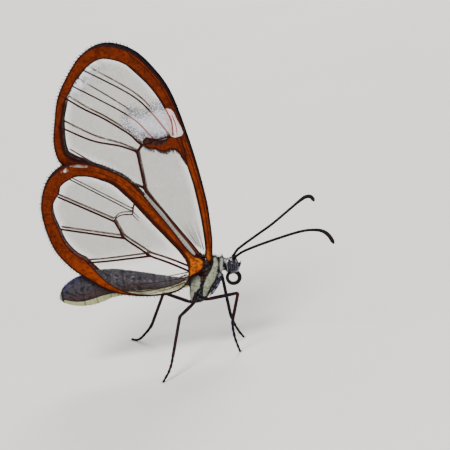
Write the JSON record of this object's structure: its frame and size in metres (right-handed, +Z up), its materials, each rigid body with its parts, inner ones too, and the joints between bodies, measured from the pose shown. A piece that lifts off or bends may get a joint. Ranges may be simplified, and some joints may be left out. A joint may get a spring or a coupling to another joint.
{
  "type": "glasswing butterfly",
  "caption": "Glasswing butterfly standing still, clear veined wings closed over its back, slender feelers forward and coiled tongue below the head.",
  "frame": {"origin": "on the floor, below the middle of the butterfly's box", "axes": "+X forward towards the head, +Y to the butterfly's left, +Z up"},
  "size_m": [0.0335, 0.0186, 0.0395],
  "materials": {
    "head": "satin",
    "eye": "gloss",
    "antenna": "satin",
    "mouthparts": "satin",
    "thorax": "matte",
    "abdomen": "satin",
    "wing": "satin",
    "leg": "satin"
  },
  "bodies": {
    "root": {"head": "head", "eye_right": "eye", "eye_left": "eye", "antenna_right": "antenna", "antenna_left": "antenna", "palp_right": "mouthparts", "palp_left": "mouthparts", "proboscis": "mouthparts", "prothorax": "thorax", "thorax": "thorax", "abdomen": "abdomen", "forewing_right": "wing", "forewing_left": "wing", "hindwing_right": "wing", "hindwing_left": "wing", "foreleg_right": "leg", "foreleg_left": "leg", "midleg_right": "leg", "midleg_left": "leg", "hindleg_right": "leg", "hindleg_left": "leg"}
  },
  "joints": []
}
